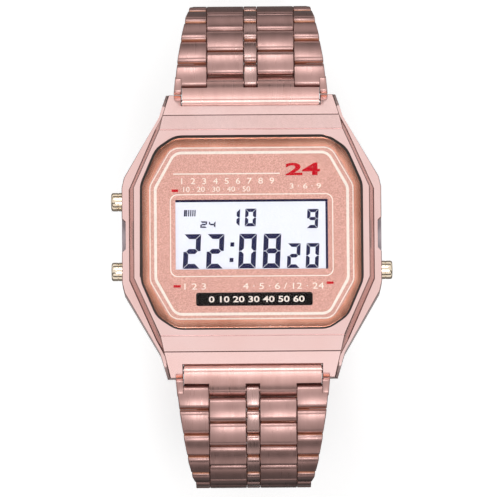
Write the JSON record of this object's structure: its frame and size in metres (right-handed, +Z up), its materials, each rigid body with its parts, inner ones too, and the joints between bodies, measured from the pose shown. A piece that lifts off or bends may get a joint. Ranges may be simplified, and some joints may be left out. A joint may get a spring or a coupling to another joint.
{
  "type": "digital wristwatch",
  "caption": "Digital wristwatch with an octagonal metal case, segment display, side pushers and a jointed five column metal bracelet with a folding clasp.",
  "frame": {"origin": "on the ground under the middle of the watch, which stands on its clasp", "axes": "+Z up out of the dial, +Y towards twelve o'clock, +X towards three o'clock"},
  "size_m": [0.0364, 0.0634, 0.0438],
  "materials": {
    "case_gold": "polished rose gold plating on steel",
    "bracelet_gold": "brushed rose gold plating on steel",
    "crystal": "clear moulded crystal",
    "gasket": "black rubber",
    "dial": "fine grained satin print",
    "display": "pale display glass with dark segments",
    "light_guide": "translucent white",
    "contact_rubber": "striped contact rubber",
    "module_plastic": "black moulded plastic",
    "board": "green laminate",
    "component": "black resin",
    "steel": "plain stainless steel",
    "brass": "thin brass",
    "pusher_metal": "polished champagne plating"
  },
  "bodies": {
    "case": {"case_body": "case_gold", "crystal": "crystal", "crystal_gasket": "gasket", "face_plate": "dial", "lcd_panel": "display", "light_panel": "light_guide", "contact_strips": "contact_rubber", "module_frame": "module_plastic", "circuit_board": "board", "board_components": "component", "battery": "steel", "battery_clip": "steel", "sounder_disc": "brass", "sounder_spring": "brass", "back_cover": "steel", "back_gasket": "gasket", "back_screws": "steel", "pusher_springs": "steel", "pusher_seals": "gasket", "lug_spring_bars": "steel"},
    "light_pusher": {"light_pusher": "pusher_metal"},
    "mode_pusher": {"mode_pusher": "pusher_metal"},
    "start_pusher": {"start_pusher": "pusher_metal"},
    "end_link_12": {"end_link_12": "bracelet_gold"},
    "end_link_6": {"end_link_6": "bracelet_gold"},
    "row_12_01": {"row_12_01": "bracelet_gold"},
    "row_12_02": {"row_12_02": "bracelet_gold"},
    "row_12_03": {"row_12_03": "bracelet_gold"},
    "row_12_04": {"row_12_04": "bracelet_gold"},
    "row_12_05": {"row_12_05": "bracelet_gold"},
    "row_12_06": {"row_12_06": "bracelet_gold"},
    "row_12_07": {"row_12_07": "bracelet_gold"},
    "row_12_08": {"row_12_08": "bracelet_gold"},
    "row_12_09": {"row_12_09": "bracelet_gold"},
    "row_12_10": {"row_12_10": "bracelet_gold"},
    "row_12_11": {"row_12_11": "bracelet_gold"},
    "row_12_12": {"row_12_12": "bracelet_gold"},
    "row_12_13": {"row_12_13": "bracelet_gold"},
    "row_12_14": {"row_12_14": "bracelet_gold"},
    "row_6_01": {"row_6_01": "bracelet_gold"},
    "row_6_02": {"row_6_02": "bracelet_gold"},
    "row_6_03": {"row_6_03": "bracelet_gold"},
    "row_6_04": {"row_6_04": "bracelet_gold"},
    "row_6_05": {"row_6_05": "bracelet_gold"},
    "row_6_06": {"row_6_06": "bracelet_gold"},
    "row_6_07": {"row_6_07": "bracelet_gold"},
    "row_6_08": {"row_6_08": "bracelet_gold"},
    "row_6_09": {"row_6_09": "bracelet_gold"},
    "row_6_10": {"row_6_10": "bracelet_gold"},
    "row_6_11": {"row_6_11": "bracelet_gold"},
    "row_6_12": {"row_6_12": "bracelet_gold"},
    "row_6_13": {"row_6_13": "bracelet_gold"},
    "row_6_14": {"row_6_14": "bracelet_gold"},
    "clasp_inner_blade": {"clasp_inner_blade": "bracelet_gold"},
    "clasp_outer_blade": {"clasp_outer_blade": "bracelet_gold"},
    "clasp_cover": {"clasp_cover": "bracelet_gold", "clasp_spring_bar": "steel"}
  },
  "joints": [
    {"name": "light_press", "type": "slide", "parent": "case", "child": "light_pusher", "axis": [1, 0, 0], "range_m": [0, 0.0007], "stiffness_N_per_m": 300, "springref_m": -0.0005, "deforming": ["pusher_springs"]},
    {"name": "mode_press", "type": "slide", "parent": "case", "child": "mode_pusher", "axis": [1, 0, 0], "range_m": [0, 0.0007], "stiffness_N_per_m": 300, "springref_m": -0.0005, "deforming": ["pusher_springs"]},
    {"name": "start_press", "type": "slide", "parent": "case", "child": "start_pusher", "axis": [-1, 0, 0], "range_m": [0, 0.0007], "stiffness_N_per_m": 300, "springref_m": -0.0005, "deforming": ["pusher_springs"]},
    {"name": "end_link_12_swing", "type": "hinge", "parent": "case", "child": "end_link_12", "pos_m": [0, 0.01738, 0.03941], "axis": [1, 0, 0], "range_deg": [0, 5]},
    {"name": "row_12_01_pin", "type": "hinge", "parent": "end_link_12", "child": "row_12_01", "pos_m": [0, 0.02017, 0.0396], "axis": [1, 0, 0], "range_deg": [0, 6]},
    {"name": "row_12_02_pin", "type": "hinge", "parent": "row_12_01", "child": "row_12_02", "pos_m": [0, 0.02337, 0.03949], "axis": [1, 0, 0], "range_deg": [0, 19.5]},
    {"name": "row_12_03_pin", "type": "hinge", "parent": "row_12_02", "child": "row_12_03", "pos_m": [0, 0.02634, 0.03832], "axis": [1, 0, 0], "range_deg": [0, 19.5]},
    {"name": "row_12_04_pin", "type": "hinge", "parent": "row_12_03", "child": "row_12_04", "pos_m": [0, 0.02876, 0.03622], "axis": [1, 0, 0], "range_deg": [0, 19.5]},
    {"name": "row_12_05_pin", "type": "hinge", "parent": "row_12_04", "child": "row_12_05", "pos_m": [0, 0.03033, 0.03343], "axis": [1, 0, 0], "range_deg": [0, 19.5]},
    {"name": "row_12_06_pin", "type": "hinge", "parent": "row_12_05", "child": "row_12_06", "pos_m": [0, 0.03089, 0.03028], "axis": [1, 0, 0], "range_deg": [0, 8.4]},
    {"name": "row_12_07_pin", "type": "hinge", "parent": "row_12_06", "child": "row_12_07", "pos_m": [0, 0.03098, 0.02708], "axis": [1, 0, 0], "range_deg": [0, 8.4]},
    {"name": "row_12_08_pin", "type": "hinge", "parent": "row_12_07", "child": "row_12_08", "pos_m": [0, 0.0306, 0.0239], "axis": [1, 0, 0], "range_deg": [0, 8.4]},
    {"name": "row_12_09_pin", "type": "hinge", "parent": "row_12_08", "child": "row_12_09", "pos_m": [0, 0.02976, 0.02082], "axis": [1, 0, 0], "range_deg": [0, 8.4]},
    {"name": "row_12_10_pin", "type": "hinge", "parent": "row_12_09", "child": "row_12_10", "pos_m": [0, 0.02848, 0.01788], "axis": [1, 0, 0], "range_deg": [0, 8.4]},
    {"name": "row_12_11_pin", "type": "hinge", "parent": "row_12_10", "child": "row_12_11", "pos_m": [0, 0.02678, 0.01517], "axis": [1, 0, 0], "range_deg": [0, 6]},
    {"name": "row_12_12_pin", "type": "hinge", "parent": "row_12_11", "child": "row_12_12", "pos_m": [0, 0.02481, 0.01265], "axis": [1, 0, 0], "range_deg": [0, 6]},
    {"name": "row_12_13_pin", "type": "hinge", "parent": "row_12_12", "child": "row_12_13", "pos_m": [0, 0.02259, 0.01035], "axis": [1, 0, 0], "range_deg": [0, 6]},
    {"name": "row_12_14_pin", "type": "hinge", "parent": "row_12_13", "child": "row_12_14", "pos_m": [0, 0.02014, 0.00829], "axis": [1, 0, 0], "range_deg": [0, 6]},
    {"name": "end_link_6_swing", "type": "hinge", "parent": "case", "child": "end_link_6", "pos_m": [0, -0.01738, 0.03941], "axis": [-1, 0, 0], "range_deg": [0, 5]},
    {"name": "row_6_01_pin", "type": "hinge", "parent": "end_link_6", "child": "row_6_01", "pos_m": [0, -0.02017, 0.0396], "axis": [-1, 0, 0], "range_deg": [0, 6]},
    {"name": "row_6_02_pin", "type": "hinge", "parent": "row_6_01", "child": "row_6_02", "pos_m": [0, -0.02337, 0.03949], "axis": [-1, 0, 0], "range_deg": [0, 19.5]},
    {"name": "row_6_03_pin", "type": "hinge", "parent": "row_6_02", "child": "row_6_03", "pos_m": [0, -0.02634, 0.03832], "axis": [-1, 0, 0], "range_deg": [0, 19.5]},
    {"name": "row_6_04_pin", "type": "hinge", "parent": "row_6_03", "child": "row_6_04", "pos_m": [0, -0.02876, 0.03622], "axis": [-1, 0, 0], "range_deg": [0, 19.5]},
    {"name": "row_6_05_pin", "type": "hinge", "parent": "row_6_04", "child": "row_6_05", "pos_m": [0, -0.03033, 0.03343], "axis": [-1, 0, 0], "range_deg": [0, 19.5]},
    {"name": "row_6_06_pin", "type": "hinge", "parent": "row_6_05", "child": "row_6_06", "pos_m": [0, -0.03089, 0.03028], "axis": [-1, 0, 0], "range_deg": [0, 8.4]},
    {"name": "row_6_07_pin", "type": "hinge", "parent": "row_6_06", "child": "row_6_07", "pos_m": [0, -0.03098, 0.02708], "axis": [-1, 0, 0], "range_deg": [0, 8.4]},
    {"name": "row_6_08_pin", "type": "hinge", "parent": "row_6_07", "child": "row_6_08", "pos_m": [0, -0.0306, 0.0239], "axis": [-1, 0, 0], "range_deg": [0, 8.4]},
    {"name": "row_6_09_pin", "type": "hinge", "parent": "row_6_08", "child": "row_6_09", "pos_m": [0, -0.02976, 0.02082], "axis": [-1, 0, 0], "range_deg": [0, 8.4]},
    {"name": "row_6_10_pin", "type": "hinge", "parent": "row_6_09", "child": "row_6_10", "pos_m": [0, -0.02848, 0.01788], "axis": [-1, 0, 0], "range_deg": [0, 8.4]},
    {"name": "row_6_11_pin", "type": "hinge", "parent": "row_6_10", "child": "row_6_11", "pos_m": [0, -0.02678, 0.01517], "axis": [-1, 0, 0], "range_deg": [0, 6]},
    {"name": "row_6_12_pin", "type": "hinge", "parent": "row_6_11", "child": "row_6_12", "pos_m": [0, -0.02481, 0.01265], "axis": [-1, 0, 0], "range_deg": [0, 6]},
    {"name": "row_6_13_pin", "type": "hinge", "parent": "row_6_12", "child": "row_6_13", "pos_m": [0, -0.02259, 0.01035], "axis": [-1, 0, 0], "range_deg": [0, 6]},
    {"name": "row_6_14_pin", "type": "hinge", "parent": "row_6_13", "child": "row_6_14", "pos_m": [0, -0.02014, 0.00829], "axis": [-1, 0, 0], "range_deg": [0, 6]},
    {"name": "clasp_band_pin", "type": "hinge", "parent": "row_6_14", "child": "clasp_inner_blade", "pos_m": [0, -0.01749, 0.0065], "axis": [-1, 0, 0], "range_deg": [0, 34]},
    {"name": "clasp_unfold", "type": "hinge", "parent": "clasp_inner_blade", "child": "clasp_outer_blade", "pos_m": [0, 0.0085, 0.00285], "axis": [1, 0, 0], "range_deg": [0, 120]},
    {"name": "clasp_cover_turn", "type": "hinge", "parent": "clasp_outer_blade", "child": "clasp_cover", "pos_m": [0, -0.01594, 0.0037], "axis": [-1, 0, 0], "range_deg": [0, 90]}
  ]
}
